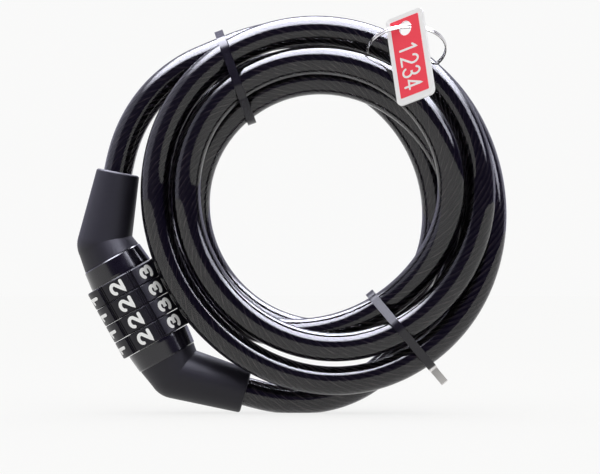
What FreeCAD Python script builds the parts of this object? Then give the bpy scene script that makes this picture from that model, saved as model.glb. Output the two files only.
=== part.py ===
"""Coiled combination cable lock, standing on edge: millimetres, +X right, +Y away, +Z up.

The coil's axis runs along Y. The cable leaves the plug boot, winds four and three
quarter turns and enters the lock's own boot. Two ties hold the bundle.
"""
import FreeCAD
import Part
import math
import os
from FreeCAD import Rotation, Vector

# cable
CABLE_OD = 12.0
JACKET_WALL = 1.75
CORE_GAP = 0.3
JACKET_BORE = CABLE_OD - 2.0 * JACKET_WALL
CORE_OD = JACKET_BORE - 2.0 * CORE_GAP
END_STRAIGHT = 12.0

# where the coil's centre stands in the part's frame
COIL_X = 9.50
COIL_Y = 1.48
COIL_Z = 87.4

# the bound turns: radius and depth at each quarter turn, clockwise from the upper tie
UPPER_TIE_DEG = 120.0
COIL_TURNS = [
    [(74.5, 14.5), (73.0, 15.0), (76.5, 2.5), (65.5, 0.0)],
    [(71.5, 0.0), (71.0, 0.0), (63.0, -2.0), (52.5, -2.5)],
    [(58.5, -3.0), (59.0, -7.5), (51.5, 7.0), (61.5, 12.5)],
    [(61.5, 19.0), (50.5, 18.0), (55.5, 21.0), (50.5, 22.5)],
    [(50.5, 8.0), (56.0, 6.0), (72.0, 15.5)],
]
# how fast the first and last turns leave the bundle, mm per radian, outward and in depth
FIRST_DRIFT = (-9.0, 0.5)
LAST_DRIFT = (14.0, -3.0)

# lock body, along its own axis from the middle of the dials
LOCK_X = -73.2
LOCK_Y = 12.8
LOCK_Z = -43.5
LOCK_LEAN_DEG = 29.2
DIAL_COUNT = 4
DIAL_PITCH = 7.8
DIAL_OD = 32.4
DIAL_GAP = 0.2
DIAL_BORE_R = 11.4
DIGIT_COUNT = 7
DIGIT_FLAT = 11.4
FLAT_RISE = 0.7
FIRST_DIGIT_DEG = 102.3
DIAL_CHAMFER = 0.35
RIB_WIDTH = 0.5
RIB_DEPTH = 0.4
COLLAR_LENGTH = 8.2
COLLAR_WIDE_R = 13.8
COLLAR_NARROW_R = 13.05
COLLAR_GROOVE = 0.5

# inside the lock body
BARREL_R = 8.8
BARREL_BORE_R = 5.0
PIN_R = 4.7
SLOT_WIDTH = 3.6
TOOTH_WIDTH = 3.0
TOOTH_LENGTH = 2.2
TOOTH_TOP_R = 9.6
RECESS_R = 10.0
FLANGE_THICK = 1.8
RUN_GAP = 0.07
FIT_GAP = 0.15
PIN_FOOT = 3.0
END_PLUG_LENGTH = 5.0
END_SLOT = 1.2
LEAF_WIDTH = 3.0
LEAF_THICK = 0.4
CROSS_PIN_R = 1.0

# boots
BOOT_R = 12.6
ELBOW_R = 11.3
ELBOW_PROUD = 0.06
UPPER_EXIT_R = 9.0
LOWER_EXIT_R = 9.2
BOOT_EDGE = 1.1
UPPER_EXIT = (-82.2, 13.3)
UPPER_EXIT_DIR = (0.19, 0.982)
LOWER_EXIT = (-28.8, -78.5)
LOWER_EXIT_DIR = (0.962, -0.272)
JACKET_DEPTH = 8.0
FERRULE_LENGTH = 8.0
FERRULE_R = 5.6
LEAD_OUT = 4.0

# ties
TIE_WIDTH = 3.6
TIE_THICK = 1.2
TIE_CLEAR = 0.95
TIE_HEAD = (5.4, 5.0, 4.2)
TIE_RADIUS = 65.0
TIE_DEPTH = 8.0
UPPER_TIE_AT = 121.6
UPPER_TIE_SLANT = -11.5
UPPER_TAIL = 8.0
LOWER_TIE_AT = -55.6
LOWER_TIE_SLANT = 5.6
LOWER_TAIL = 25.0
TIE_ROUND = 0.8

# split ring and tag
RING_MEAN_R = 16.3
RING_WIRE = 0.8
RING_PITCH = 1.1
RING_CROSSING_DEG = 44.0
RING_START_DEG = 200.0
RING_DEG = 59.12
RING_HELD_TURN = 4.677
RING_OUT = 1.985
RING_FORWARD = 4.085
RING_NORMAL = (-0.464, 0.694, 0.551)
TAG_WIDTH = 18.8
TAG_LENGTH = 38.0
TAG_THICK = 1.0
TAG_CORNER = 2.5
TAG_HOLE_R = 3.1
TAG_HANG = 0.8
TAG_HOLE_IN = 6.4
TAG_HOLE_THROUGH = 6.0
TAG_ON_RING_DEG = -6.0
TAG_ACROSS = (10.7, -7.6, 3.9)
TAG_DOWN = (5.0, -10.5, -30.75)
LABEL_THICK = 0.2
LABEL_WIDTH = 14.2
LABEL_LENGTH = 33.2
LABEL_CORNER = 0.3
LABEL_TOP = 2.0

ORIGIN = Vector(COIL_X, COIL_Y, COIL_Z)
OUT_DIR = "parts"


def unit(v):
    """The vector v at length one."""
    w = Vector(v)
    w.normalize()
    return w


def on_coil(angle_deg, radius, depth):
    """The point at an angle from +X, a radius and a depth behind the coil's middle."""
    a = math.radians(angle_deg)
    return ORIGIN + Vector(radius * math.cos(a), depth, radius * math.sin(a))


def biarc(p0, t0, p1, t1):
    """Two tangent arcs from p0 along t0 to p1 along t1, and their radii."""
    v = p1 - p0
    t = t0 + t1
    den = 2.0 * (1.0 - t0.dot(t1))
    if den > 1e-9:
        d = (-v.dot(t) + math.sqrt(v.dot(t) ** 2 + den * v.dot(v))) / den
    else:
        d = v.dot(v) / (4.0 * v.dot(t1))
    joint = (p0 + p1 + (t0 - t1) * d) * 0.5
    edges = []
    radii = []
    for a, b, corner in ((p0, joint, p0 + t0 * d), (joint, p1, p1 - t1 * d)):
        middle = (a + b) * 0.5
        half = (b - a).Length / 2.0
        rise = (corner - middle).Length
        turn = math.atan2(rise, half)
        radius = half / math.sin(turn)
        top = middle + unit(corner - middle) * (radius * (1.0 - math.cos(turn)))
        edges.append(Part.Arc(a, top, b).toShape())
        radii.append(radius)
    return edges, radii


def stations():
    """Every quarter turn of the coil as (point, direction)."""
    rows = [row for turn in COIL_TURNS for row in turn]
    quarter = math.pi / 2.0
    found = []
    for k, (radius, depth) in enumerate(rows):
        if k == 0:
            out, back = FIRST_DRIFT
        elif k == len(rows) - 1:
            out, back = LAST_DRIFT
        else:
            out = (rows[k + 1][0] - rows[k - 1][0]) / (2.0 * quarter)
            back = (rows[k + 1][1] - rows[k - 1][1]) / (2.0 * quarter)
        deg = UPPER_TIE_DEG - 90.0 * k
        a = math.radians(deg)
        along = Vector(
            out * math.cos(a) + radius * math.sin(a),
            back,
            out * math.sin(a) - radius * math.cos(a),
        )
        found.append((on_coil(deg, radius, depth), unit(along)))
    return found


def coil_path(found):
    """The bound turns, with a straight run at each end."""
    first, first_dir = found[0]
    last, last_dir = found[-1]
    edges = [Part.LineSegment(first - first_dir * END_STRAIGHT, first).toShape()]
    radii = []
    for (p0, t0), (p1, t1) in zip(found, found[1:]):
        more, some = biarc(p0, t0, p1, t1)
        edges += more
        radii += some
    edges.append(Part.LineSegment(last, last + last_dir * END_STRAIGHT).toShape())
    return edges, radii


def lead_path(inner, inner_dir, face, face_dir, depth):
    """From inside a boot, out of its face and along to where the bound turns begin."""
    out = face + face_dir * LEAD_OUT
    edges = [Part.LineSegment(face - face_dir * depth, out).toShape()]
    more, radii = biarc(out, face_dir, inner, inner_dir)
    return edges + more, radii


def tube(edges, radius):
    """A round bar of one radius along the edges."""
    wire = Part.Wire(edges)
    start = edges[0].valueAt(edges[0].FirstParameter)
    along = edges[0].tangentAt(edges[0].FirstParameter)
    ring = Part.Wire([Part.makeCircle(radius, start, along)])
    return wire.makePipeShell([ring], True, False)


def path_points(edges, step):
    """Points along the edges, about step apart."""
    found = []
    for edge in edges:
        count = max(2, int(edge.Length / step))
        found += edge.discretize(count)[:-1]
    return found


def least_gap(edges):
    """The least gap between the cable and itself, measured on points of its middle."""
    points = path_points(edges, 4.0)
    far = int(100.0 / 4.0)
    least = 1e9
    for i, p in enumerate(points):
        for q in points[i + far:]:
            least = min(least, p.distanceToPoint(q))
    return least - CABLE_OD


class LockFrame:
    """Places shapes made about Z into the lock: local X to the coil, local Y to the front."""

    def __init__(self):
        lean = math.radians(LOCK_LEAN_DEG)
        self.axis = Vector(math.sin(lean), 0.0, -math.cos(lean))
        self.side = Vector(math.cos(lean), 0.0, math.sin(lean))
        self.middle = ORIGIN + Vector(LOCK_X, LOCK_Y, LOCK_Z)
        turn = Rotation(self.side, Vector(0, -1, 0), self.axis, "XYZ")
        self.placement = FreeCAD.Placement(self.middle, turn)

    def place(self, shape):
        """The local shape in the part's frame."""
        placed = shape.copy()
        placed.Placement = self.placement.multiply(placed.Placement)
        return placed

    def point(self, along):
        """A point on the axis."""
        return self.middle + self.axis * along


FRAME = LockFrame()
DIALS_END = DIAL_COUNT * DIAL_PITCH / 2.0
COLLAR_END = DIALS_END + COLLAR_LENGTH


def cylinder(radius, low, high):
    """A cylinder about Z from low to high."""
    return Part.makeCylinder(radius, high - low, Vector(0, 0, low))


def slot_block(width, reach, low, high):
    """A block out along +X, for the row of teeth and what it passes through."""
    return Part.makeBox(reach, width, high - low, Vector(0, -width / 2.0, low))


def chamfered(radius, low, high):
    """A cylinder about Z with its two rims broken."""
    edge = DIAL_CHAMFER
    profile = [
        Vector(0, 0, low),
        Vector(radius - edge, 0, low),
        Vector(radius, 0, low + edge),
        Vector(radius, 0, high - edge),
        Vector(radius - edge, 0, high),
        Vector(0, 0, high),
        Vector(0, 0, low),
    ]
    return Part.Face(Part.makePolygon(profile)).revolve(Vector(0, 0, 0), Vector(0, 0, 1), 360)


def dial(index):
    """One number ring: wide raised digit faces with a ribbed strip between each two."""
    low = -DIALS_END + index * DIAL_PITCH + DIAL_GAP / 2.0
    high = low + DIAL_PITCH - DIAL_GAP
    outer = DIAL_OD / 2.0
    body = chamfered(outer - FLAT_RISE, low, high)
    rim = chamfered(outer, low, high)
    step = 360.0 / DIGIT_COUNT
    for k in range(DIGIT_COUNT):
        turn = FIRST_DIGIT_DEG + step * k
        face = Part.makeBox(
            outer - DIAL_BORE_R + 1.0, DIGIT_FLAT, high - low,
            Vector(DIAL_BORE_R - 1.0, -DIGIT_FLAT / 2.0, low),
        )
        face = face.common(rim)
        face.rotate(Vector(0, 0, 0), Vector(0, 0, 1), turn)
        body = body.fuse(face)
    for k in range(DIGIT_COUNT):
        between = FIRST_DIGIT_DEG + step * (k + 0.5)
        for side in (-0.9, 0.9):
            rib = Part.makeBox(
                RIB_DEPTH * 2.0, RIB_WIDTH, high - low,
                Vector(outer - FLAT_RISE - RIB_DEPTH, (side - 0.5) * RIB_WIDTH, low),
            )
            rib.rotate(Vector(0, 0, 0), Vector(0, 0, 1), between)
            body = body.cut(rib)
    body = body.cut(cylinder(DIAL_BORE_R, low, high))
    return FRAME.place(body.removeSplitter())


def code_ring(index):
    """The notched ring in a dial: its flange holds a tooth back until the notch lines up."""
    low = -DIALS_END + index * DIAL_PITCH + DIAL_GAP
    high = low + DIAL_PITCH - 2.0 * DIAL_GAP
    ring = cylinder(DIAL_BORE_R, low, high)
    ring = ring.cut(cylinder(BARREL_R + RUN_GAP, low, high))
    ring = ring.cut(cylinder(RECESS_R, low + FLANGE_THICK, high))
    ring = ring.cut(slot_block(SLOT_WIDTH, RECESS_R, low, high))
    return FRAME.place(ring)


def tooth_low(index):
    """Where a tooth starts along the axis: in its code ring's recess."""
    return -DIALS_END + index * DIAL_PITCH + DIAL_GAP + FLANGE_THICK + 1.4


def lock_pin():
    """The plug's pin, with one tooth for each dial, and its collar inside the boot."""
    start = -COLLAR_END - FIT_GAP
    tip = tooth_low(DIAL_COUNT - 1) + TOOTH_LENGTH + 0.8
    pin = cylinder(PIN_R, start, tip)
    tip_edge = [e for e in pin.Edges if abs(e.BoundBox.ZMin - tip) < 1e-6 and len(e.Vertexes) == 1]
    pin = pin.makeChamfer(1.0, tip_edge)
    for k in range(DIAL_COUNT):
        low = tooth_low(k)
        tooth = slot_block(TOOTH_WIDTH, TOOTH_TOP_R, low, low + TOOTH_LENGTH)
        pin = pin.fuse(tooth.common(cylinder(TOOTH_TOP_R, low, low + TOOTH_LENGTH)))
    foot = cylinder(PIN_R + 2.0, start - PIN_FOOT, start - FIT_GAP)
    neck = cylinder(PIN_R, start - FIT_GAP, start)
    return FRAME.place(pin.fuse([foot, neck]).removeSplitter())


def barrel():
    """The slotted tube that the code rings turn on."""
    tube_body = cylinder(BARREL_R, -COLLAR_END, COLLAR_END)
    tube_body = tube_body.cut(cylinder(BARREL_BORE_R, -COLLAR_END, COLLAR_END))
    slot_end = tooth_low(DIAL_COUNT - 1) + TOOTH_LENGTH + 0.6
    tube_body = tube_body.cut(slot_block(SLOT_WIDTH, BARREL_R + 1.0, -COLLAR_END, slot_end))
    seat = Part.makeBox(
        LEAF_THICK, LEAF_WIDTH, 2.0 * DIALS_END,
        Vector(-BARREL_R, -LEAF_WIDTH / 2.0, -DIALS_END),
    )
    tube_body = tube_body.cut(seat)
    for low_end in (-1, 1):
        tube_body = tube_body.cut(cross_pin_local(low_end))
    return FRAME.place(tube_body)


def detent_leaf():
    """The leaf in the barrel's flat that clicks against the code rings."""
    inset = FIT_GAP
    floor = -BARREL_R + LEAF_THICK
    leaf = Part.makeBox(
        LEAF_THICK * 0.6, LEAF_WIDTH - 2 * inset, 2.0 * (DIALS_END - inset),
        Vector(floor - LEAF_THICK * 0.6, -LEAF_WIDTH / 2.0 + inset, -DIALS_END + inset),
    )
    leaf = leaf.common(cylinder(BARREL_R, -DIALS_END, DIALS_END))
    return FRAME.place(leaf)


def cross_pin_local(end):
    """A pin through collar and barrel wall, on the side away from the teeth."""
    at = end * (DIALS_END + COLLAR_LENGTH / 2.0)
    length = COLLAR_NARROW_R - 0.8 - BARREL_BORE_R
    return Part.makeCylinder(
        CROSS_PIN_R, length, Vector(-BARREL_BORE_R, 0, at), Vector(-1, 0, 0)
    )


def cross_pins():
    """Both pins that hold the barrel in its collars."""
    both = [FRAME.place(cross_pin_local(end)) for end in (-1, 1)]
    return Part.makeCompound(both)


def collar(end):
    """A tapered ring beside the dials, with a groove near the boot."""
    near = DIALS_END + FIT_GAP
    profile = [
        Vector(BARREL_R, 0, near),
        Vector(COLLAR_WIDE_R, 0, near),
        Vector(COLLAR_WIDE_R, 0, near + 1.0),
        Vector(COLLAR_NARROW_R, 0, COLLAR_END - COLLAR_GROOVE),
        Vector(COLLAR_NARROW_R - COLLAR_GROOVE, 0, COLLAR_END),
        Vector(BARREL_R, 0, COLLAR_END),
        Vector(BARREL_R, 0, near),
    ]
    ring = Part.Face(Part.makePolygon(profile)).revolve(Vector(0, 0, 0), Vector(0, 0, 1), 360)
    if end < 0:
        ring.rotate(Vector(0, 0, 0), Vector(1, 0, 0), 180)
        ring = ring.cut(slot_block(SLOT_WIDTH, RECESS_R, -COLLAR_END - 1.0, -DIALS_END))
    ring = ring.cut(cross_pin_local(end))
    return FRAME.place(ring)


def end_plug():
    """The screw that closes the barrel's far end and resets the code."""
    high = COLLAR_END - 0.5
    plug = cylinder(BARREL_BORE_R, high - END_PLUG_LENGTH, high)
    cut = Part.makeBox(
        BARREL_BORE_R * 1.4, END_SLOT, END_SLOT,
        Vector(-BARREL_BORE_R * 0.7, -END_SLOT / 2.0, high - END_SLOT),
    )
    plug = plug.cut(cut)
    return FRAME.place(plug)


def elbow_corner(start, start_dir, face, face_dir):
    """How far along its start direction a boot's two straight parts meet."""
    gap = face - start
    den = start_dir.x * face_dir.z - start_dir.z * face_dir.x
    return (gap.x * face_dir.z - gap.z * face_dir.x) / den


def cone_slope(ball, length, end_r):
    """The slope of a cone that touches a ball and has radius end_r at length from it.

    It is positive where the cone widens away from the ball, and is found by halving.
    """
    low = -1.0
    high = 1.0
    for _ in range(60):
        middle = (low + high) / 2.0
        if (ball + length * math.sin(middle)) / math.cos(middle) < end_r:
            low = middle
        else:
            high = middle
    return (low + high) / 2.0


def nose(length, exit_r):
    """A ball about the origin that runs on into a cone along Z with a rounded rim."""
    slope = -cone_slope(ELBOW_R, length, exit_r)
    touch = Vector(ELBOW_R * math.cos(slope), 0, ELBOW_R * math.sin(slope))
    bottom = Vector(0, 0, -ELBOW_R)
    middle = (slope - math.pi / 2.0) / 2.0
    belly = Vector(ELBOW_R * math.cos(middle), 0, ELBOW_R * math.sin(middle))
    edge = Vector(exit_r + BOOT_EDGE * math.tan(slope), 0, length - BOOT_EDGE)
    part_way = BOOT_EDGE * math.sin(math.pi / 4.0)
    round_off = Vector(edge.x - BOOT_EDGE + part_way, 0, length - BOOT_EDGE + part_way)
    rim = Vector(edge.x - BOOT_EDGE, 0, length)
    profile = Part.Wire([
        Part.Arc(bottom, belly, touch).toShape(),
        Part.makeLine(touch, edge),
        Part.Arc(edge, round_off, rim).toShape(),
        Part.makeLine(rim, Vector(0, 0, length)),
        Part.makeLine(Vector(0, 0, length), bottom),
    ])
    return Part.Face(profile).revolve(Vector(0, 0, 0), Vector(0, 0, 1), 360)


def boot(start, start_dir, face, face_dir, exit_r):
    """A bent, tapered boot with a stepped bore for jacket and ferrule."""
    first = elbow_corner(start, start_dir, face, face_dir)
    corner = start + start_dir * first
    slope = cone_slope(ELBOW_R, first, BOOT_R)
    past = ELBOW_R * math.sin(slope)
    body = Part.makeCone(
        BOOT_R, ELBOW_R * math.cos(slope) - ELBOW_PROUD, first + past, start, start_dir
    )
    front = nose((face - corner).Length, exit_r)
    back = Vector(0, 1, 0)
    front.Placement = FreeCAD.Placement(corner, Rotation(back, face_dir.cross(back), face_dir, "ZXY"))
    behind = Part.makeCylinder(2.0 * BOOT_R, 2.0 * ELBOW_R, start, start_dir * -1.0)
    body = body.fuse(front).cut(behind)
    jacket_hole = Part.makeCylinder(
        CABLE_OD / 2.0 + RUN_GAP, JACKET_DEPTH + 1.0, face - face_dir * JACKET_DEPTH, face_dir
    )
    ferrule_hole = Part.makeCylinder(
        FERRULE_R, FERRULE_LENGTH + 0.5,
        face - face_dir * (JACKET_DEPTH + FERRULE_LENGTH), face_dir,
    )
    return body.cut(jacket_hole).cut(ferrule_hole).Solids[0]


def boot_ends(end):
    """Start point, start direction, face and face direction of a boot."""
    axis = FRAME.axis
    if end < 0:
        start = FRAME.point(-COLLAR_END - FIT_GAP)
        face = ORIGIN + Vector(UPPER_EXIT[0], LOCK_Y, UPPER_EXIT[1])
        out = unit(Vector(UPPER_EXIT_DIR[0], 0, UPPER_EXIT_DIR[1]))
        return start, axis * -1.0, face, out
    start = FRAME.point(COLLAR_END)
    face = ORIGIN + Vector(LOWER_EXIT[0], LOCK_Y, LOWER_EXIT[1])
    out = unit(Vector(LOWER_EXIT_DIR[0], 0, LOWER_EXIT_DIR[1]))
    return start, axis, face, out


def upper_boot():
    """The plug's boot, hollowed for the foot of the pin."""
    body = boot(*boot_ends(-1), UPPER_EXIT_R)
    start = -COLLAR_END - FIT_GAP
    body = body.cut(FRAME.place(cylinder(PIN_R + 2.0, start - PIN_FOOT, start - FIT_GAP)))
    return body.cut(FRAME.place(cylinder(PIN_R, start - FIT_GAP, start + 1.0)))


def above_floor(shape):
    """The shape cut flat where it stands."""
    box = shape.BoundBox
    if box.ZMin >= 0.0:
        return shape
    slab = Part.makeBox(box.XLength + 2, box.YLength + 2, 5.0, Vector(box.XMin - 1, box.YMin - 1, -5.0))
    return shape.cut(slab)


def lower_boot():
    """The lock's own boot, which meets the floor."""
    return above_floor(boot(*boot_ends(1), LOWER_EXIT_R))


def ferrule(end):
    """The sleeve crimped on the core's end, inside a boot."""
    _, _, face, out = boot_ends(end)
    base = face - out * (JACKET_DEPTH + FERRULE_LENGTH)
    sleeve = Part.makeCylinder(FERRULE_R, FERRULE_LENGTH, base, out)
    return sleeve.cut(Part.makeCylinder(CORE_OD / 2.0, FERRULE_LENGTH, base, out))


def hull(points):
    """The corners of the convex outline of 2-D points, counterclockwise."""
    rows = sorted(points)
    ring = []
    for sweep in (rows, rows[::-1]):
        part = []
        for p in sweep:
            while len(part) > 1 and turn_of(part[-2], part[-1], p) <= 0:
                part.pop()
            part.append(p)
        ring += part[:-1]
    return ring


def turn_of(a, b, c):
    """Positive where a, b, c turn left."""
    return (b[0] - a[0]) * (c[1] - a[1]) - (b[1] - a[1]) * (c[0] - a[0])


def belt(corners, radius, place):
    """A closed wire of straight runs and arcs round equal circles at the corners."""
    count = len(corners)
    ends = []
    for k in range(count):
        a = corners[k]
        b = corners[(k + 1) % count]
        length = math.hypot(b[0] - a[0], b[1] - a[1])
        out = ((b[1] - a[1]) / length * radius, -(b[0] - a[0]) / length * radius)
        ends.append(((a[0] + out[0], a[1] + out[1]), (b[0] + out[0], b[1] + out[1]), out))
    edges = []
    for k in range(count):
        start, stop, out = ends[k]
        following = ends[(k + 1) % count]
        corner = corners[(k + 1) % count]
        mid = (out[0] + following[2][0], out[1] + following[2][1])
        size = math.hypot(*mid)
        top = (corner[0] + mid[0] / size * radius, corner[1] + mid[1] / size * radius)
        edges.append(Part.LineSegment(place(start), place(stop)).toShape())
        edges.append(Part.Arc(place(stop), place(top), place(following[0])).toShape())
    return Part.Wire(edges)


def crossings(edges, base, outward, along):
    """Where the cable's middle passes the plane square to along: (outward, depth) pairs."""
    found = []
    reach = CABLE_OD * 3.0
    for edge in edges:
        points = edge.discretize(60)
        for p, q in zip(points, points[1:]):
            a = (p - base).dot(along)
            b = (q - base).dot(along)
            if a * b > 0.0 or a == b:
                continue
            at = p + (q - p) * (a / (a - b))
            out = (at - base).dot(outward)
            if abs(out) < reach:
                found.append((out, at.y - base.y))
    return found


def tie(angle_deg, slant_deg, edges, share, tail_length):
    """A tie round all the turns, slanted from the coil's radius.

    Its head sits on the belt's longest straight run behind the bundle, and its tail
    leaves the head along that run, outward for a long tail and inward for a short one.
    """
    a = math.radians(angle_deg + slant_deg)
    outward = Vector(math.cos(a), 0, math.sin(a))
    along = Vector(math.sin(a), 0, -math.cos(a))
    middle = on_coil(angle_deg, TIE_RADIUS, TIE_DEPTH)
    rows = crossings(edges, middle, outward, along)
    base = middle - along * (TIE_WIDTH / 2.0)

    def place(p):
        return base + outward * p[0] + Vector(0, p[1], 0)

    corners = hull(rows)
    slant = abs(math.tan(math.radians(slant_deg)))
    inner_r = CABLE_OD / 2.0 + TIE_CLEAR + TIE_WIDTH / 2.0 * slant
    outer = Part.Face(belt(corners, inner_r + TIE_THICK, place))
    inner = Part.Face(belt(corners, inner_r, place))
    strap = outer.cut(inner).extrude(along * TIE_WIDTH)
    runs = []
    for k, low in enumerate(corners):
        high = corners[(k + 1) % len(corners)]
        if low[1] + high[1] > 0.0:
            runs.append((math.hypot(high[0] - low[0], high[1] - low[1]), low, high))
    _, start, stop = max(runs)
    if (stop[0] - start[0]) * (tail_length - 2.0 * UPPER_TAIL) < 0.0:
        start, stop = stop, start
    ahead = unit(outward * (stop[0] - start[0]) + Vector(0, stop[1] - start[1], 0))
    up = unit(ahead.cross(along))
    if up.y < 0.0:
        up = up * -1.0
    seat = middle + outward * (start[0] + (stop[0] - start[0]) * share) + up * inner_r
    seat = seat + Vector(0, start[1] + (stop[1] - start[1]) * share, 0)
    length, across, deep = TIE_HEAD
    turn = Rotation(ahead, up, ahead.cross(up), "XYZ")
    head = Part.makeBox(length, deep, across, Vector(-length / 2.0, 0, -across / 2.0))
    head = head.makeFillet(TIE_ROUND, [e for e in head.Edges if e.BoundBox.YMin > deep - 0.01])
    head.Placement = FreeCAD.Placement(seat, turn)
    width = TIE_WIDTH - 0.4
    tail = Part.makeBox(tail_length, TIE_THICK, width, Vector(0, TIE_THICK + 0.5, -width / 2.0))
    tail.Placement = FreeCAD.Placement(seat, turn)
    return strap.fuse([head, tail]).removeSplitter()


def turn_at(quarters):
    """Radius and depth of the coil a number of quarter turns from its first tie."""
    found = stations()
    k = int(quarters)
    edges, _ = biarc(*found[k], *found[k + 1])
    wanted = math.radians(UPPER_TIE_DEG - 90.0 * quarters)
    best = None
    for edge in edges:
        for p in edge.discretize(200):
            local = p - ORIGIN
            miss = abs(math.remainder(math.atan2(local.z, local.x) - wanted, 2.0 * math.pi))
            if best is None or miss < best[0]:
                best = (miss, math.hypot(local.x, local.z), local.y)
    return best[1], best[2]


def ring_axes():
    """The split ring's middle, its normal and two directions across it."""
    a = math.radians(RING_DEG)
    tangent = Vector(math.sin(a), 0, -math.cos(a))
    outward = Vector(math.cos(a), 0, math.sin(a))
    t, r, y = RING_NORMAL
    normal = unit(tangent * t + outward * r + Vector(0, y, 0))
    held, depth = turn_at(RING_HELD_TURN)
    middle = on_coil(RING_DEG, held + RING_OUT, depth - RING_FORWARD)
    first = unit(Vector(0, 0, 1) - normal * normal.z)
    return middle, normal, first, normal.cross(first)


def split_ring():
    """Two flat turns of wire side by side, joined by a short crossing."""
    middle, normal, first, second = ring_axes()
    half = RING_CROSSING_DEG / 2.0
    stride = (360.0 - RING_CROSSING_DEG) / 4.0
    stops = [(half + stride * k, -1) for k in range(5)]
    stops += [(360.0 + half + stride * k, 1) for k in range(5)]
    found = []
    for deg, layer in stops:
        a = math.radians(deg + RING_START_DEG)
        out = first * math.cos(a) + second * math.sin(a)
        ahead = second * math.cos(a) - first * math.sin(a)
        lift = normal * (layer * RING_PITCH / 2.0)
        found.append((middle + out * RING_MEAN_R + lift, ahead))
    edges = []
    for (p0, t0), (p1, t1) in zip(found, found[1:]):
        edges += biarc(p0, t0, p1, t1)[0]
    return tube(edges, RING_WIRE / 2.0)


def tag_axes():
    """Where the ring carries the tag, and the tag's directions across, down and out."""
    middle, normal, first, second = ring_axes()
    across = unit(Vector(*TAG_ACROSS))
    down = unit(Vector(*TAG_DOWN))
    down = unit(down - across * down.dot(across))
    a = math.radians(TAG_ON_RING_DEG)
    on_ring = middle + (first * math.cos(a) + second * math.sin(a)) * RING_MEAN_R
    return on_ring, across, down, across.cross(down)


def tag_slab(width, length, corner, thick, top_in, lift):
    """A plate with round corners, top_in below the tag's top edge, bored for the ring."""
    on_ring, across, down, out = tag_axes()
    hole = on_ring + down * TAG_HANG
    top = hole - down * (TAG_HOLE_IN - top_in)
    base = top - across * (width / 2.0) - out * (TAG_THICK / 2.0 - lift)
    plate = Part.makeBox(width, length, thick)
    tall = [e for e in plate.Edges if abs(e.BoundBox.ZLength - thick) < 1e-6]
    plate = plate.makeFillet(corner, tall)
    plate.Placement = FreeCAD.Placement(base, Rotation(across, down, out, "XYZ"))
    through = TAG_HOLE_THROUGH
    bore = Part.makeCylinder(TAG_HOLE_R, through, hole - out * (through / 2.0), out)
    return plate.cut(bore)


def tag_plate():
    """The tag's plastic plate."""
    return tag_slab(TAG_WIDTH, TAG_LENGTH, TAG_CORNER, TAG_THICK, 0.0, 0.0)


def tag_label():
    """The coloured panel on the tag's face towards the front."""
    return tag_slab(LABEL_WIDTH, LABEL_LENGTH, LABEL_CORNER, LABEL_THICK, LABEL_TOP, -LABEL_THICK)


def check_solid(name, shape, edges, radius, bore):
    """Prints a tube's volume beside its section times its length."""
    length = sum(e.Length for e in edges)
    plain = math.pi * (radius ** 2 - bore ** 2) * length
    print(name, "length", round(length, 1), "volume share", round(shape.Volume / plain, 4))


def cable_pieces():
    """Jacket and core of the bound turns and of both leads."""
    found = stations()
    coil, radii = coil_path(found)
    print("coil radii", round(min(radii), 1), "to", round(max(radii), 1))
    _, _, up_face, up_dir = boot_ends(-1)
    _, _, low_face, low_dir = boot_ends(1)
    first, first_dir = found[0]
    last, last_dir = found[-1]
    upper_to = first - first_dir * END_STRAIGHT
    lower_to = last + last_dir * END_STRAIGHT
    core_depth = JACKET_DEPTH + FERRULE_LENGTH
    pieces = {}
    whole = [None, None, None]
    for order, (name, jacket_edges, core_edges) in enumerate((
        ("upper_lead", lead_path(upper_to, first_dir, up_face, up_dir, JACKET_DEPTH),
         lead_path(upper_to, first_dir, up_face, up_dir, core_depth)),
        ("coil", (coil, radii), (coil, radii)),
        ("lower_lead", lead_path(lower_to, last_dir * -1.0, low_face, low_dir, JACKET_DEPTH),
         lead_path(lower_to, last_dir * -1.0, low_face, low_dir, core_depth)),
    )):
        edges = jacket_edges[0]
        whole[order] = edges
        print(name, "radii", [round(r, 1) for r in jacket_edges[1]][:2])
        outer = tube(edges, CABLE_OD / 2.0)
        jacket = outer.cut(tube(edges, JACKET_BORE / 2.0))
        check_solid(name, jacket, edges, CABLE_OD / 2.0, JACKET_BORE / 2.0)
        pieces[name + "_jacket"] = jacket
        pieces[name + "_core"] = tube(core_edges[0], CORE_OD / 2.0)
    middle = whole[0] + whole[1] + whole[2]
    total = sum(e.Length for e in middle)
    print("cable length", round(total, 1), "least gap to itself", round(least_gap(coil), 2))
    pieces["lower_lead_jacket"] = above_floor(pieces["lower_lead_jacket"])
    return pieces


def build():
    """Every node's solid by name."""
    pieces = cable_pieces()
    pieces["upper_boot"] = upper_boot()
    pieces["lower_boot"] = lower_boot()
    pieces["upper_ferrule"] = ferrule(-1)
    pieces["lower_ferrule"] = ferrule(1)
    pieces["upper_collar"] = collar(-1)
    pieces["lower_collar"] = collar(1)
    pieces["barrel"] = barrel()
    pieces["lock_pin"] = lock_pin()
    pieces["end_plug"] = end_plug()
    pieces["detent_leaf"] = detent_leaf()
    pieces["cross_pins"] = cross_pins()
    for k in range(DIAL_COUNT):
        pieces["dial_%d" % (k + 1)] = dial(k)
        pieces["code_ring_%d" % (k + 1)] = code_ring(k)
    edges, _ = coil_path(stations())
    pieces["upper_tie"] = tie(UPPER_TIE_AT, UPPER_TIE_SLANT, edges, 0.5, UPPER_TAIL)
    pieces["lower_tie"] = tie(LOWER_TIE_AT, LOWER_TIE_SLANT, edges, 0.7, LOWER_TAIL)
    pieces["split_ring"] = split_ring()
    pieces["tag_plate"] = tag_plate()
    pieces["tag_label"] = tag_label()
    return pieces


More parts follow.
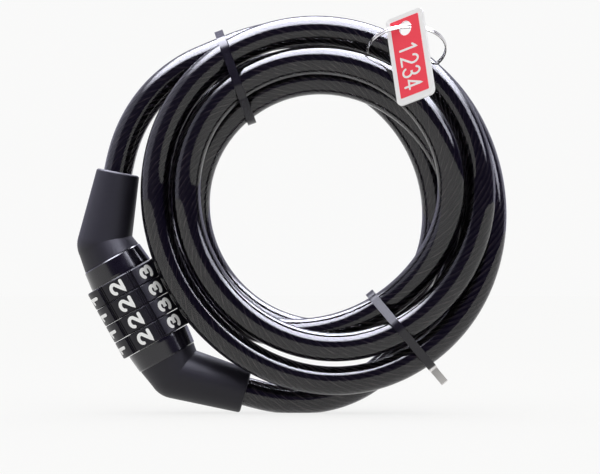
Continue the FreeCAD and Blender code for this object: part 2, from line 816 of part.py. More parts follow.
def export(pieces):
    """Writes one STEP file for each node and prints the whole part's box."""
    os.makedirs(OUT_DIR, exist_ok=True)
    box = FreeCAD.BoundBox()
    for name, shape in pieces.items():
        if not shape.isValid():
            print("not valid:", name)
        box.add(shape.BoundBox)
        shape.exportStep(os.path.join(OUT_DIR, name + ".step"))
    print("box", [round(v, 2) for v in (box.XMin, box.XMax, box.YMin, box.YMax, box.ZMin, box.ZMax)])


export(build())
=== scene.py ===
"""Looks for the coiled combination cable lock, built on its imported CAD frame.

Objects are in metres: +X right, +Y away from the camera, +Z up. The sizes and places named
here are in millimetres in the same directions, unless a comment says otherwise.
"""
import bpy
import math
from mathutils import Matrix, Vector


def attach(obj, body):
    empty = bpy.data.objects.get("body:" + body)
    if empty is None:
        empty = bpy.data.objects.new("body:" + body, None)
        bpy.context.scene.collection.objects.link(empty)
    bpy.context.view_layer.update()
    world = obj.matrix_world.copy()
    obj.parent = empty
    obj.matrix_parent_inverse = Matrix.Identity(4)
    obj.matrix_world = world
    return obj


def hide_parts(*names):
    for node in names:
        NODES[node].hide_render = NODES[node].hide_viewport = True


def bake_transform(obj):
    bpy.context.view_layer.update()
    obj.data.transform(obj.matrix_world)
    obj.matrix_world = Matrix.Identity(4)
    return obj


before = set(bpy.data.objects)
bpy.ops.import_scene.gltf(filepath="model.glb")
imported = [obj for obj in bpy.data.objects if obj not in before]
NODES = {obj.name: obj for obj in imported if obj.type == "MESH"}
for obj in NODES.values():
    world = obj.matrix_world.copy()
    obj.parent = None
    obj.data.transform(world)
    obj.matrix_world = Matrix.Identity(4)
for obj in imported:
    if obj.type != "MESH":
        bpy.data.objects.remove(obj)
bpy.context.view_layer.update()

MM = 0.001

# cable
CABLE_OD = 12.0
ROPE_OD = 7.9
SHEATH_AROUND = 56
ROPE_AROUND = 48
ROPE_LOBES = 12
ROPE_LAY = 46.0
ROPE_DIP = 0.10
WIRE_COUNT = 12

# the bound turns: radius and depth at each quarter turn, clockwise from the upper tie
COIL_CENTRE = Vector((9.50, 1.48, 87.4))
UPPER_TIE_DEG = 120.0
COIL_TURNS = [
    [(74.5, 14.5), (73.0, 15.0), (76.5, 2.5), (65.5, 0.0)],
    [(71.5, 0.0), (71.0, 0.0), (63.0, -2.0), (52.5, -2.5)],
    [(58.5, -3.0), (59.0, -7.5), (51.5, 7.0), (61.5, 12.5)],
    [(61.5, 19.0), (50.5, 18.0), (55.5, 21.0), (50.5, 22.5)],
    [(50.5, 8.0), (56.0, 6.0), (72.0, 15.5)],
]
# how fast the first and last turns leave the bundle, for each radian, outward and in depth
FIRST_DRIFT = (-9.0, 0.5)
LAST_DRIFT = (14.0, -3.0)
END_STRAIGHT = 12.0
STEPS_PER_QUARTER = 12
COIL_FINENESS = 4
LEAST_TURN = 0.05

# the boots' faces, from the coil's centre, and the leads that run into them
UPPER_EXIT = Vector((-82.2, 12.8, 13.3))
UPPER_EXIT_DIR = Vector((0.19, 0.0, 0.982)).normalized()
LOWER_EXIT = Vector((-28.8, 12.8, -78.5))
LOWER_EXIT_DIR = Vector((0.962, 0.0, -0.272)).normalized()
LEAD_INSIDE = 7.0
LEAD_OUT = 4.0
LEAD_SETTLE = 2.0
LOWER_LEAD_STEPS = 7
UPPER_LEAD_STEPS = 8
LEAD_FINENESS = 6

# the dials, from the coil's centre
LOCK_MIDDLE = Vector((-73.2, 12.8, -43.5))
LOCK_LEAN_DEG = 29.2
DIAL_COUNT = 4
DIAL_PITCH = 7.8
DIAL_OD = 32.4
DIGIT_COUNT = 7
FIRST_DIGIT = 2
FIRST_DIGIT_DEG = 102.3
DIGIT_HEIGHT = 5.1
DIGIT_WIDEN = 1.33
DIGIT_PEN = 1.4
DIGIT_RISE = 0.25

# where the painted highlight on the ties' tails begins: the distance from the coil's axis
TAIL_GLINT_FROM = 83.4
TAIL_GLINT_FULL = TAIL_GLINT_FROM + 0.6

# the tag: where the ring carries it, from the coil's centre, and its own directions
TAG_ON_RING = Vector((37.30, -17.51, 72.45))
TAG_HANG = 0.8
TAG_FACE = 0.7
TAG_ACROSS = Vector((10.7, -7.6, 3.9)).normalized()
TAG_DOWN = Vector((5.0, -10.5, -30.75)).normalized()
TAG_NUMBER = "1234"
TAG_DIGIT_HEIGHT = 8.3
TAG_DIGIT_WIDEN = 0.68
TAG_DIGIT_PEN = 0.9
TAG_DIGIT_RISE = 0.12
TAG_DIGIT_ADVANCE = 5.2
TAG_DIGITS_BELOW = 16.6

# how all digits are drawn: the glyph box's middle, the length of a piece of line and the
# angle of a piece of arc, the least cosine at a corner, and the sides of a round end
GLYPH_MIDDLE_X = 0.31
GLYPH_MIDDLE_Y = 0.5
LINE_STEP = 0.08
ARC_STEP_DEG = 12.0
CORNER_LEAST = 0.55
ROUND_END_SIDES = 6
SEGMENT_STEP = 0.0004
DIGIT_SINK = 0.02

# camera
FRAME_WIDTH = 250.0
CAMERA_DISTANCE = 1500.0
SENSOR_WIDTH = 36.0
AIM = COIL_CENTRE + Vector((-6.1, 6.0, -13.85))

# floor, room and lamp
FLOOR_HALF = 3000.0
FLOOR_COLOUR = (0.95, 0.95, 0.945, 1.0)
FLOOR_SHOWN = (0.975, 0.975, 0.97, 1.0)
FLOOR_GLOW = 0.78
BACKDROP = (0.95, 0.95, 0.947, 1.0)
WHITE = (1.0, 1.0, 1.0, 1.0)
EVEN_LIGHT = 0.88
ROOM_TINT = (0.86, 0.87, 1.0, 1.0)
SHADE_TINT = (0.05, 0.035, 0.12, 1.0)
DARK_ROOM = 0.02
# the room in reflections, by direction: pale from the first to the second value
ROOM_LEAN = -0.5
ROOM_EDGE = (-0.24, 0.05)
BEHIND_EDGE = (0.70, 0.85)
BEHIND_SHARE = 0.45
# the soft light overhead reaches further down at the sides, most on the right
SOFTBOX = 19.0
SOFTBOX_EDGE = (0.66, 0.86)
SOFTBOX_ASIDE = 0.12
SOFTBOX_RIGHT = 0.10
STREAK = 7.0
STREAK_EDGE = (0.955, 0.985)
STREAK_FROM = Vector((0.82, -0.33, 0.46)).normalized()
LAMP_FROM_CENTRE = Vector((0.0, 60.0, 700.0))
LAMP_WIDTH = 500.0
LAMP_DEPTH = 300.0
LAMP_POWER = 0.4


def link(obj):
    """Puts a new object in the scene."""
    bpy.context.scene.collection.objects.link(obj)
    return obj


def mesh_object(name, verts, faces, uvs=None, smooth=True):
    """A mesh from points in metres, with one (u, v) pair per point of each face."""
    mesh = bpy.data.meshes.new(name)
    mesh.from_pydata([tuple(v) for v in verts], [], faces)
    if uvs is not None:
        layer = mesh.uv_layers.new(name="UVMap")
        flat = [c for face in uvs for uv in face for c in uv]
        layer.data.foreach_set("uv", flat)
    mesh.polygons.foreach_set("use_smooth", [smooth] * len(mesh.polygons))
    mesh.update()
    return link(bpy.data.objects.new(name, mesh))


# cable route

def coil_stations():
    """Every quarter turn of the coil as (point, direction) in millimetres."""
    rows = [row for turn in COIL_TURNS for row in turn]
    quarter = math.pi / 2.0
    found = []
    for k, (radius, depth) in enumerate(rows):
        if k == 0:
            out, back = FIRST_DRIFT
        elif k == len(rows) - 1:
            out, back = LAST_DRIFT
        else:
            out = (rows[k + 1][0] - rows[k - 1][0]) / (2.0 * quarter)
            back = (rows[k + 1][1] - rows[k - 1][1]) / (2.0 * quarter)
        a = math.radians(UPPER_TIE_DEG - 90.0 * k)
        point = COIL_CENTRE + Vector((radius * math.cos(a), depth, radius * math.sin(a)))
        along = Vector((
            out * math.cos(a) + radius * math.sin(a),
            back,
            out * math.sin(a) - radius * math.cos(a),
        ))
        found.append((point, along.normalized()))
    return found


def bend(p0, t0, p1, t1, steps):
    """Points of a smooth bend from p0 along t0 to p1 along t1, its end left out."""
    turn = max(LEAST_TURN, t0.angle(t1))
    reach = (p1 - p0).length / (2.0 * math.sin(turn / 2.0)) * math.tan(turn / 4.0) * 4.0 / 3.0
    a = p0 + t0 * reach
    b = p1 - t1 * reach
    found = []
    for k in range(steps):
        s = k / steps
        r = 1.0 - s
        found.append(p0 * r ** 3 + a * (3 * r * r * s) + b * (3 * r * s * s) + p1 * s ** 3)
    return found


def spline_points(points, fineness, name):
    """Points in metres along a smooth line that the given ones guide."""
    curve = bpy.data.curves.new(name, "CURVE")
    curve.dimensions = "3D"
    curve.resolution_u = fineness
    spline = curve.splines.new("NURBS")
    spline.points.add(len(points) - 1)
    for target, p in zip(spline.points, points):
        target.co = (*(p * MM), 1.0)
    spline.order_u = 3
    spline.use_endpoint_u = True
    holder = bpy.data.objects.new(name, curve)
    mesh = bpy.data.meshes.new_from_object(holder)
    found = [v.co.copy() for v in mesh.vertices]
    bpy.data.objects.remove(holder)
    bpy.data.curves.remove(curve)
    bpy.data.meshes.remove(mesh)
    return found


STATIONS = coil_stations()
COIL_START, COIL_START_DIR = STATIONS[0]
COIL_END, COIL_END_DIR = STATIONS[-1]
COIL_HEAD = COIL_START - COIL_START_DIR * END_STRAIGHT
COIL_TAIL = COIL_END + COIL_END_DIR * END_STRAIGHT


def coil_route():
    """The bound turns and the lower lead, into the lower boot."""
    points = [COIL_HEAD]
    for (p0, t0), (p1, t1) in zip(STATIONS, STATIONS[1:]):
        points += bend(p0, t0, p1, t1, STEPS_PER_QUARTER)
    points.append(COIL_END)
    face = COIL_CENTRE + LOWER_EXIT
    out = face + LOWER_EXIT_DIR * LEAD_OUT
    points += bend(COIL_TAIL, COIL_END_DIR, out, -LOWER_EXIT_DIR, LOWER_LEAD_STEPS)
    points.append(out)
    points.append(face - LOWER_EXIT_DIR * LEAD_INSIDE)
    return points


def upper_lead_route():
    """From inside the upper boot to where the bound turns begin."""
    face = COIL_CENTRE + UPPER_EXIT
    out = face + UPPER_EXIT_DIR * LEAD_OUT
    points = [face - UPPER_EXIT_DIR * LEAD_INSIDE, face]
    points += bend(out, UPPER_EXIT_DIR, COIL_HEAD, COIL_START_DIR, UPPER_LEAD_STEPS)
    points.append(COIL_HEAD - COIL_START_DIR * LEAD_SETTLE)
    points.append(COIL_HEAD)
    return points


def frames_along(path):
    """A sideways and an upward direction at each point, carried along without twist."""
    tangents = []
    for k in range(len(path)):
        ahead = path[min(k + 1, len(path) - 1)]
        behind = path[max(k - 1, 0)]
        tangents.append((ahead - behind).normalized())
    side = tangents[0].cross(Vector((0, 1, 0))).normalized()
    sides = []
    for t in tangents:
        side = (side - t * side.dot(t)).normalized()
        sides.append((side, t.cross(side)))
    return sides


def lengths_along(path):
    """Distance of each point from the start."""
    run = [0.0]
    for a, b in zip(path, path[1:]):
        run.append(run[-1] + (b - a).length)
    return run


def sweep(name, path, section, around, caps):
    """A closed section swept along a path. section(distance, angle) gives its radius.

    caps holds "start" or "end" or both: the ends that are closed with a face.
    """
    sides = frames_along(path)
    run = lengths_along(path)
    verts = []
    for p, (side, up), s in zip(path, sides, run):
        for j in range(around):
            a = 2.0 * math.pi * j / around
            r = section(s, a)
            v = p + side * (r * math.cos(a)) + up * (r * math.sin(a))
            # the lowest wall lies flat on the floor
            v.z = max(v.z, 0.0)
            verts.append(v)
    faces = []
    uvs = []
    for k in range(len(path) - 1):
        here = k * around
        there = here + around
        for j in range(around):
            n = (j + 1) % around
            faces.append((here + j, here + n, there + n, there + j))
            v0 = j / around
            v1 = (j + 1) / around
            uvs.append(((run[k], v0), (run[k], v1), (run[k + 1], v1), (run[k + 1], v0)))
    if "start" in caps:
        faces.append(tuple(reversed(range(around))))
        uvs.append(((run[0], 0.0),) * around)
    if "end" in caps:
        last = (len(path) - 1) * around
        faces.append(tuple(range(last, last + around)))
        uvs.append(((run[-1], 0.0),) * around)
    return mesh_object(name, verts, faces, uvs)


def rope_section(distance, angle):
    """Radius of the laid strands at a distance along the rope."""
    turn = 2.0 * math.pi * distance / (ROPE_LAY * MM)
    wave = abs(math.cos(ROPE_LOBES / 2.0 * (angle - turn)))
    return ROPE_OD / 2.0 * MM * (1.0 - ROPE_DIP + ROPE_DIP * math.sqrt(wave))


def sheath_section(distance, angle):
    """Radius of the round sheath, the same all along."""
    return CABLE_OD / 2.0 * MM


# node trees

def put(tree, value, socket):
    """Links an output to a socket, or sets the socket to a value."""
    if isinstance(value, bpy.types.NodeSocket):
        tree.links.new(value, socket)
    else:
        socket.default_value = value


def node(tree, kind, **values):
    """A new node. Small first letters name its properties, capitals its inputs."""
    made = tree.nodes.new(kind)
    for key, value in values.items():
        if key[0].islower():
            setattr(made, key, value)
        else:
            put(tree, value, made.inputs[key.replace("_", " ")])
    return made


def calc(tree, operation, *values):
    """A Math node on outputs or numbers; gives its output."""
    made = node(tree, "ShaderNodeMath", operation=operation)
    for value, socket in zip(values, made.inputs):
        put(tree, value, socket)
    return made.outputs[0]


def vector_calc(tree, operation, *values):
    """A Vector Math node on outputs or vectors."""
    made = node(tree, "ShaderNodeVectorMath", operation=operation)
    for value, socket in zip(values, made.inputs):
        put(tree, value, socket)
    return made.outputs


def ramp(tree, value, low, high, at_low=0.0, at_high=1.0, kind="LINEAR"):
    """A value taken from one range to another; gives its output."""
    made = node(
        tree, "ShaderNodeMapRange", interpolation_type=kind, Value=value,
        From_Min=low, From_Max=high, To_Min=at_low, To_Max=at_high,
    )
    return made.outputs["Result"]


def two_tone(tree, value, first, second, first_at=0.0, second_at=1.0):
    """A colour that goes from the first to the second as a value rises."""
    made = node(tree, "ShaderNodeValToRGB", Fac=value)
    start, end = made.color_ramp.elements
    start.position = first_at
    start.color = first
    end.position = second_at
    end.color = second
    return made.outputs["Color"]


def mixed(tree, share, first, second):
    """The first shader where the share is 0 and the second where it is 1."""
    mix = node(tree, "ShaderNodeMixShader", Fac=share)
    put(tree, first, mix.inputs[1])
    put(tree, second, mix.inputs[2])
    return mix.outputs["Shader"]


# materials

def new_material(name, settings):
    """A material and its Principled shader, whose sockets are set by name."""
    material = bpy.data.materials.new(name)
    material.use_nodes = True
    shader = material.node_tree.nodes["Principled BSDF"]
    for key, value in settings.items():
        shader.inputs[key].default_value = value
    return material, shader


def surface(name, settings, grain, roughness):
    """A material with a fine grain and a roughness that wanders with it between two values.

    grain is the noise's scale and detail, and the bump's strength and height in metres.
    """
    scale, detail, strength, height = grain
    material, shader = new_material(name, settings)
    tree = material.node_tree
    place = node(tree, "ShaderNodeTexCoord").outputs["Object"]
    noise = node(tree, "ShaderNodeTexNoise", Vector=place, Scale=scale, Detail=detail)
    uneven = noise.outputs["Fac"]
    bump = node(tree, "ShaderNodeBump", Strength=strength, Distance=height, Height=uneven)
    put(tree, bump.outputs["Normal"], shader.inputs["Normal"])
    put(tree, ramp(tree, uneven, 0.0, 1.0, *roughness), shader.inputs["Roughness"])
    return material


# painted highlight: each wire's line is painted bright where it stands out, and in patches that
# are long across the lay
WIRE_LIT_FROM = 0.1
PATCH_ACROSS = 34.0
PATCH_ALONG = 190.0
PATCH_DETAIL = 3.0
PATCH_EDGE = (0.42, 0.72)
WIRE_DARK = (0.008, 0.007, 0.009, 1.0)
WIRE_PAINTED_GLINT = (0.10, 0.085, 0.08, 1.0)
WIRE_DARK_TO = 0.05
WIRE_PAINTED_GLINT_FROM = 0.8


def rope_material():
    """Dark greased steel wires, with thin bright lines that come and go along the lay: painted
    highlights in the colour.
    """
    material, shader = new_material("rope_steel", {"Metallic": 0.6, "Roughness": 0.32})
    tree = material.node_tree
    place = node(tree, "ShaderNodeUVMap")
    parts = node(tree, "ShaderNodeSeparateXYZ", Vector=place.outputs["UV"]).outputs
    turn = calc(tree, "MULTIPLY", parts["X"], 1.0 / (ROPE_LAY * MM))
    lay = calc(tree, "SUBTRACT", parts["Y"], turn)
    wave = calc(tree, "SINE", calc(tree, "MULTIPLY", lay, 2.0 * math.pi * WIRE_COUNT))
    lines = ramp(tree, wave, WIRE_LIT_FROM, 1.0)
    where = node(
        tree, "ShaderNodeCombineXYZ",
        X=calc(tree, "MULTIPLY", lay, PATCH_ACROSS),
        Y=calc(tree, "MULTIPLY", parts["X"], PATCH_ALONG),
    )
    patches = node(
        tree, "ShaderNodeTexNoise", Vector=where.outputs["Vector"],
        Scale=1.0, Detail=PATCH_DETAIL,
    )
    shown = ramp(tree, patches.outputs["Fac"], *PATCH_EDGE)
    lit = calc(tree, "MULTIPLY", lines, shown)
    # the bright wire lines are painted highlights, glints of the steel put into the base colour
    tone = two_tone(tree, lit, WIRE_DARK, WIRE_PAINTED_GLINT, WIRE_DARK_TO, WIRE_PAINTED_GLINT_FROM)
    put(tree, tone, shader.inputs["Base Color"])
    bump = node(tree, "ShaderNodeBump", Strength=0.6, Distance=0.0002, Height=wave)
    put(tree, bump.outputs["Normal"], shader.inputs["Normal"])
    return material


# the tie's own black, and the pale colour of the painted highlight on its tails
TIE_BLACK = (0.007, 0.006, 0.010, 1.0)
TIE_PAINTED_GLINT = (0.80, 0.78, 0.76, 1.0)


def tie_material():
    """Moulded black nylon whose tail ends are painted pale outside the bundle, a painted
    highlight.
    """
    material = surface("tie_nylon", {}, (500.0, 4.0, 0.08, 0.0002), (0.16, 0.3))
    tree = material.node_tree
    place = node(tree, "ShaderNodeTexCoord").outputs["Object"]
    offset = vector_calc(tree, "SUBTRACT", place, COIL_CENTRE * MM)["Vector"]
    across_axis = vector_calc(tree, "MULTIPLY", offset, (1.0, 0.0, 1.0))["Vector"]
    reach = vector_calc(tree, "LENGTH", across_axis)["Value"]
    painted_glint = ramp(tree, reach, TAIL_GLINT_FROM * MM, TAIL_GLINT_FULL * MM)
    # the pale tail ends are a painted highlight on the black nylon
    tone = two_tone(tree, painted_glint, TIE_BLACK, TIE_PAINTED_GLINT)
    put(tree, tone, tree.nodes["Principled BSDF"].inputs["Base Color"])
    return material


def steel(name, colour, roughness):
    """Metal with fine turned or drawn marks."""
    look = {"Base Color": colour, "Metallic": 1.0}
    return surface(name, look, (900.0, 4.0, 0.1, 0.0001), roughness)


def card(name, colour, roughness):
    """Smooth card-like plastic."""
    look = {"Base Color": colour, "Specular IOR Level": 0.25}
    return surface(name, look, (400.0, 4.0, 0.03, 0.0001), roughness)


# smoky clear plastic
SHEATH = surface("smoky_clear", {
    "Base Color": (0.40, 0.37, 0.42, 1.0),
    "IOR": 1.54,
    "Transmission Weight": 1.0,
}, (90.0, 2.0, 0.004, 0.0002), (0.02, 0.06))
ROPE = rope_material()
# soft black plastic with a fine spark-eroded grain
BOOT = surface("boot_plastic", {
    "Base Color": (0.010, 0.009, 0.014, 1.0),
    "Specular IOR Level": 0.36,
}, (2600.0, 2.0, 0.25, 0.00012), (0.40, 0.55))
# hard glossy black plastic with faint ripples
GLOSS_BLACK = surface("gloss_black", {
    "Base Color": (0.005, 0.004, 0.008, 1.0),
    "Coat Weight": 0.3,
    "Coat Roughness": 0.08,
}, (320.0, 4.0, 0.05, 0.0002), (0.14, 0.26))
# duller black plastic, worn by fingers
DIAL_BLACK = surface("dial_black", {
    "Base Color": (0.006, 0.005, 0.009, 1.0),
    "Specular IOR Level": 0.32,
}, (320.0, 4.0, 0.05, 0.0002), (0.30, 0.44))
TIE = tie_material()
LOCK_STEEL = steel("lock_steel", (0.62, 0.61, 0.6, 1.0), (0.2, 0.35))
BRASS = steel("code_brass", (0.72, 0.55, 0.28, 1.0), (0.2, 0.35))
RING_STEEL = steel("ring_steel", (0.72, 0.71, 0.69, 1.0), (0.08, 0.18))
TAG_WHITE = card("tag_white", (0.87, 0.87, 0.87, 1.0), (0.35, 0.45))
TAG_RED = card("tag_red", (0.90, 0.06, 0.09, 1.0), (0.35, 0.45))
DIGIT_WHITE = card("digit_white", (0.86, 0.86, 0.85, 1.0), (0.4, 0.5))


def dress(material, *names):
    """Gives CAD nodes a material in every slot."""
    for name in names:
        slots = NODES[name].data.materials
        if len(slots) == 0:
            slots.append(material)
        for k in range(len(slots)):
            slots[k] = material


# cable

def cable():
    """The sheath and the rope inside it, as one bound run and one lead."""
    long_run = spline_points(coil_route(), COIL_FINENESS, "coil_route")
    lead_run = spline_points(upper_lead_route(), LEAD_FINENESS, "lead_route")
    both = ["start", "end"]
    # the sheaths meet open end to open end, so that no wall shows across the clear plastic
    sheath = sweep("cable_sheath", long_run, sheath_section, SHEATH_AROUND, ["end"])
    rope = sweep("cable_rope", long_run, rope_section, ROPE_AROUND, both)
    lead_sheath = sweep("lead_sheath", lead_run, sheath_section, SHEATH_AROUND, ["start"])
    lead_rope = sweep("lead_rope", lead_run, rope_section, ROPE_AROUND, both)
    for piece, material, slot in (
        (sheath, SHEATH, "clear_jacket"), (rope, ROPE, "steel_rope"),
        (lead_sheath, SHEATH, "clear_jacket"), (lead_rope, ROPE, "steel_rope"),
    ):
        piece.data.materials.append(material)
    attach(sheath, "lock_and_cable")
    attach(rope, "lock_and_cable")
    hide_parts("coil_jacket", "lower_lead_jacket")
    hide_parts("coil_core", "lower_lead_core")
    for piece in (lead_sheath, lead_rope):
        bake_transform(piece)
    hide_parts("upper_lead_jacket")
    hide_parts("upper_lead_core")
    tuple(long_run[0])
    lengths_along(long_run)[-1]
    [tuple(p) for p in long_run]


# digits

# each digit as one pen stroke of lines and arcs, in a box 0.62 wide and 1 high
# an arc is (middle x, middle y, radius x, radius y, from degrees, to degrees)
STROKES = {
    "0": [("arc", 0.31, 0.5, 0.31, 0.5, 90, 450)],
    "1": [("to", 0.10, 0.78), ("to", 0.36, 1.0), ("to", 0.36, 0.0)],
    "2": [("arc", 0.30, 0.70, 0.29, 0.30, 170, -28), ("to", 0.02, 0.0), ("to", 0.62, 0.0)],
    "3": [("arc", 0.29, 0.75, 0.26, 0.25, 160, -90), ("arc", 0.29, 0.26, 0.31, 0.26, 90, -160)],
    "4": [("to", 0.62, 0.26), ("to", 0.0, 0.26), ("to", 0.42, 1.0), ("to", 0.42, 0.0)],
    "5": [
        ("to", 0.58, 1.0), ("to", 0.12, 1.0), ("to", 0.06, 0.56),
        ("arc", 0.29, 0.33, 0.32, 0.33, 125, -150),
    ],
    "6": [("to", 0.50, 0.98), ("arc", 0.31, 0.31, 0.31, 0.31, 150, 510)],
}


def stroke_points(moves):
    """A stroke's points in the glyph's box."""
    found = []
    for kind, *values in moves:
        if kind == "to":
            target = Vector(values)
            if found:
                last = found[-1]
                steps = max(1, int((target - last).length / LINE_STEP))
                found += [last.lerp(target, (k + 1) / steps) for k in range(steps)]
            else:
                found.append(target)
        else:
            x, y, rx, ry, first, last = values
            steps = max(4, int(abs(last - first) / ARC_STEP_DEG))
            for k in range(steps + 1):
                a = math.radians(first + (last - first) * k / steps)
                p = Vector((x + rx * math.cos(a), y + ry * math.sin(a)))
                if not found or (p - found[-1]).length > 1e-4:
                    found.append(p)
    return found


def pen_mesh(points, width):
    """A flat ribbon with round ends along 2-D points: its points and its faces."""
    half = width / 2.0
    verts = []
    faces = []
    count = len(points)
    for k, p in enumerate(points):
        ahead = points[min(k + 1, count - 1)] - p
        behind = p - points[max(k - 1, 0)]
        if k == count - 1:
            ahead = behind
        if k == 0:
            behind = ahead
        t = (ahead.normalized() + behind.normalized()).normalized()
        lean = max(CORNER_LEAST, t.dot(ahead.normalized()))
        n = Vector((-t.y, t.x)) * (half / lean)
        verts.append(p + n)
        verts.append(p - n)
        if k:
            b = 2 * k
            faces.append([b - 2, b - 1, b + 1, b])
    for at, first, second in ((0, 0, 1), (count - 1, 2 * count - 1, 2 * count - 2)):
        centre = points[at]
        arm = verts[first] - centre
        fan = [first]
        for k in range(1, ROUND_END_SIDES):
            a = math.pi * k / ROUND_END_SIDES
            turned = Vector((
                arm.x * math.cos(a) - arm.y * math.sin(a),
                arm.x * math.sin(a) + arm.y * math.cos(a),
            ))
            fan.append(len(verts))
            verts.append(centre + turned)
        fan.append(second)
        faces.append(fan)
    return verts, faces


def draw_digit(text, height, widen, pen, rise, place, verts, faces):
    """Adds a raised digit. place(x, y, z) puts a glyph point, from its middle, in space."""
    points = [
        Vector(((p.x - GLYPH_MIDDLE_X) * widen, p.y - GLYPH_MIDDLE_Y)) * height
        for p in stroke_points(STROKES[text])
    ]
    flat, flat_faces = pen_mesh(points, pen)
    base = len(verts)
    count = len(flat)
    # each point is a hair higher than the last, so that a stroke may cross itself
    verts += [place(p.x, p.y, rise + SEGMENT_STEP * i) for i, p in enumerate(flat)]
    verts += [place(p.x, p.y, 0.0) for p in flat]
    edges = {}
    for face in flat_faces:
        faces.append([base + i for i in face])
        faces.append([base + count + i for i in reversed(face)])
        for a, b in zip(face, face[1:] + face[:1]):
            edges[(a, b)] = True
    for a, b in edges:
        if (b, a) not in edges:
            faces.append([base + a, base + count + a, base + count + b, base + b])


def digit_object(name, verts, faces, body):
    """Makes drawn digits one white piece that rides on a body."""
    piece = mesh_object(name, verts, faces, smooth=False)
    piece.data.materials.append(DIGIT_WHITE)
    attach(piece, body)


def dial_digits():
    """Raised white numbers on every dial face, each reading towards the plug."""
    lean = math.radians(LOCK_LEAN_DEG)
    # the axis runs down to the lower boot, its side faces the coil
    axis = Vector((math.sin(lean), 0.0, -math.cos(lean)))
    side = Vector((math.cos(lean), 0.0, math.sin(lean)))
    front = Vector((0, -1, 0))
    centre = COIL_CENTRE + LOCK_MIDDLE
    radius = DIAL_OD / 2.0
    for dial in range(DIAL_COUNT):
        verts = []
        faces = []
        along = (dial - (DIAL_COUNT - 1) / 2.0) * DIAL_PITCH
        for k in range(DIGIT_COUNT):
            turn0 = math.radians(FIRST_DIGIT_DEG + 360.0 / DIGIT_COUNT * k)

            def place(x, y, z):
                # up on the digit runs round the dial, its reading direction along the axis
                turn = turn0 + y / radius
                out = side * math.cos(turn) + front * math.sin(turn)
                return (centre + axis * (along - x) + out * (radius + z - DIGIT_SINK)) * MM

            value = str((FIRST_DIGIT - k) % DIGIT_COUNT)
            draw_digit(
                value, DIGIT_HEIGHT, DIGIT_WIDEN, DIGIT_PEN, DIGIT_RISE, place, verts, faces,
            )
        digit_object("digits_%d" % (dial + 1), verts, faces, "dial_%d" % (dial + 1))


def tag_digits():
    """A row of plain numbers down the tag, under its hole."""
    down = (TAG_DOWN - TAG_ACROSS * TAG_DOWN.dot(TAG_ACROSS)).normalized()
    out = TAG_ACROSS.cross(down)
    middle = COIL_CENTRE + TAG_ON_RING + down * (TAG_HANG + TAG_DIGITS_BELOW) - out * TAG_FACE
    verts = []
    faces = []
    for k, value in enumerate(TAG_NUMBER):
        at = middle + down * ((k - (len(TAG_NUMBER) - 1) / 2.0) * TAG_DIGIT_ADVANCE)

        def place(x, y, z):
            return (at + down * x + TAG_ACROSS * y - out * (z - DIGIT_SINK)) * MM

        draw_digit(
            value, TAG_DIGIT_HEIGHT, TAG_DIGIT_WIDEN, TAG_DIGIT_PEN, TAG_DIGIT_RISE,
            place, verts, faces,
        )
    digit_object("tag_digits", verts, faces, "tag")


# stage

def pale_floor():
    """A floor that looks as pale as the backdrop and keeps the object's shadow."""
    half = FLOOR_HALF * MM
    corners = [(-half, -half, 0), (half, -half, 0), (half, half, 0), (-half, half, 0)]
    floor = mesh_object("floor", corners, [(0, 1, 2, 3)])
    material, shader = new_material("pale_floor", {
        "Base Color": FLOOR_COLOUR,
        "Specular IOR Level": 0.0,
    })
    tree = material.node_tree
    noise = node(tree, "ShaderNodeTexNoise", Scale=40.0, Detail=3.0)
    uneven = ramp(tree, noise.outputs["Fac"], 0.0, 1.0, 0.65, 0.75)
    put(tree, uneven, shader.inputs["Roughness"])
    # the glow shows where the camera, a mirror or clear plastic looks, and lights nothing else
    rays = node(tree, "ShaderNodeLightPath").outputs
    shown = calc(tree, "MAXIMUM", rays["Is Camera Ray"], rays["Is Glossy Ray"])
    shown = calc(tree, "MAXIMUM", shown, rays["Is Transmission Ray"])
    share = calc(tree, "MULTIPLY", shown, FLOOR_GLOW)
    glow = node(tree, "ShaderNodeEmission", Color=FLOOR_SHOWN)
    look = mixed(tree, share, shader.outputs["BSDF"], glow.outputs["Emission"])
    put(tree, look, tree.nodes["Material Output"].inputs["Surface"])
    floor.data.materials.append(material)


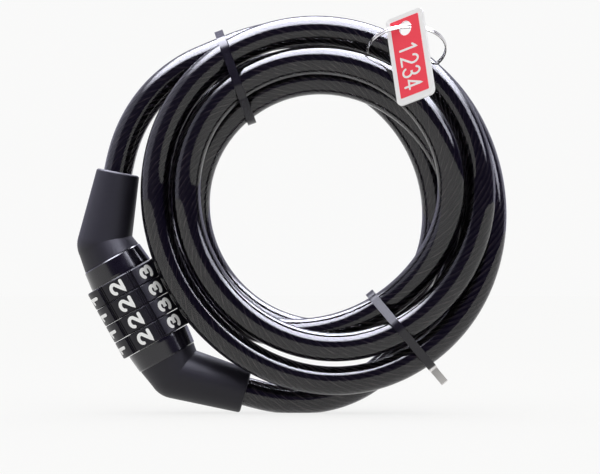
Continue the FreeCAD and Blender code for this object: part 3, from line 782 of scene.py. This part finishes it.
def studio_world():
    """Even light, a pale room behind, a dark one in front and a wide soft light overhead."""
    world = bpy.data.worlds.new("room")
    bpy.context.scene.world = world
    world.use_nodes = True
    tree = world.node_tree
    tree.nodes.clear()
    rays = node(tree, "ShaderNodeLightPath").outputs
    direction = node(tree, "ShaderNodeTexCoord").outputs["Generated"]
    x, y, z = node(tree, "ShaderNodeSeparateXYZ", Vector=direction).outputs
    # pale behind and to the left, dark on the camera's side, darker again straight behind
    leaning = calc(tree, "ADD", y, calc(tree, "MULTIPLY", x, ROOM_LEAN))
    room = ramp(tree, leaning, *ROOM_EDGE, DARK_ROOM, 1.0, "SMOOTHSTEP")
    behind = ramp(tree, y, *BEHIND_EDGE, 1.0, BEHIND_SHARE, "SMOOTHSTEP")
    mirrored = calc(tree, "MULTIPLY", room, behind)
    # the soft light overhead and the streak light, for reflections only
    aside = calc(tree, "MULTIPLY", calc(tree, "ABSOLUTE", x), SOFTBOX_ASIDE)
    right = calc(tree, "MULTIPLY", x, SOFTBOX_RIGHT)
    high = calc(tree, "ADD", z, calc(tree, "ADD", aside, right))
    box = ramp(tree, high, *SOFTBOX_EDGE, 0.0, SOFTBOX, "SMOOTHSTEP")
    toward = vector_calc(tree, "DOT_PRODUCT", direction, STREAK_FROM)["Value"]
    streak = ramp(tree, toward, *STREAK_EDGE, 0.0, STREAK, "SMOOTHSTEP")
    straight = calc(tree, "SUBTRACT", 1.0, rays["Is Transmission Ray"])
    lamps = calc(tree, "MULTIPLY", calc(tree, "ADD", box, streak), straight)
    bright = calc(tree, "ADD", mirrored, lamps)
    reflected = node(tree, "ShaderNodeBackground", Color=ROOM_TINT, Strength=bright)
    shade = node(tree, "ShaderNodeBackground", Color=SHADE_TINT)
    room_light = node(tree, "ShaderNodeAddShader")
    put(tree, reflected.outputs["Background"], room_light.inputs[0])
    put(tree, shade.outputs["Background"], room_light.inputs[1])
    even = node(tree, "ShaderNodeBackground", Color=WHITE, Strength=EVEN_LIGHT)
    seen = node(tree, "ShaderNodeBackground", Color=BACKDROP)
    clear = calc(tree, "MAXIMUM", rays["Is Glossy Ray"], rays["Is Transmission Ray"])
    lit = mixed(tree, clear, even.outputs["Background"], room_light.outputs["Shader"])
    look = mixed(tree, rays["Is Camera Ray"], lit, seen.outputs["Background"])
    node(tree, "ShaderNodeOutputWorld", Surface=look)


def overhead_lamp():
    """One weak soft light over the coil, for the object's shadow."""
    light = bpy.data.lights.new("overhead", "AREA")
    light.shape = "RECTANGLE"
    light.size = LAMP_WIDTH * MM
    light.size_y = LAMP_DEPTH * MM
    light.energy = LAMP_POWER
    lamp = link(bpy.data.objects.new("overhead", light))
    lamp.location = (COIL_CENTRE + LAMP_FROM_CENTRE) * MM
    lamp.rotation_euler = (-LAMP_FROM_CENTRE).to_track_quat("-Z", "Y").to_euler()


def camera():
    """The photograph's view: level and square on."""
    data = bpy.data.cameras.new("camera")
    data.sensor_width = SENSOR_WIDTH
    data.lens = SENSOR_WIDTH * CAMERA_DISTANCE / FRAME_WIDTH
    data.clip_start = 0.01
    data.clip_end = 20.0
    eye = link(bpy.data.objects.new("camera", data))
    eye.location = (AIM - Vector((0, CAMERA_DISTANCE, 0))) * MM
    eye.rotation_euler = (math.radians(90.0), 0.0, 0.0)
    bpy.context.scene.camera = eye


bpy.context.scene.view_settings.view_transform = "Standard"
camera()
cable()
dial_digits()
tag_digits()
dress(BOOT, "upper_boot", "lower_boot")
dress(GLOSS_BLACK, "upper_collar", "lower_collar")
dress(DIAL_BLACK, "dial_1", "dial_2", "dial_3", "dial_4")
dress(TIE, "upper_tie", "lower_tie")
dress(LOCK_STEEL, "barrel", "lock_pin", "end_plug", "detent_leaf", "cross_pins")
dress(LOCK_STEEL, "upper_ferrule", "lower_ferrule")
dress(BRASS, "code_ring_1", "code_ring_2", "code_ring_3", "code_ring_4")
dress(RING_STEEL, "split_ring")
dress(TAG_WHITE, "tag_plate")
dress(TAG_RED, "tag_label")
pale_floor()
studio_world()
overhead_lamp()
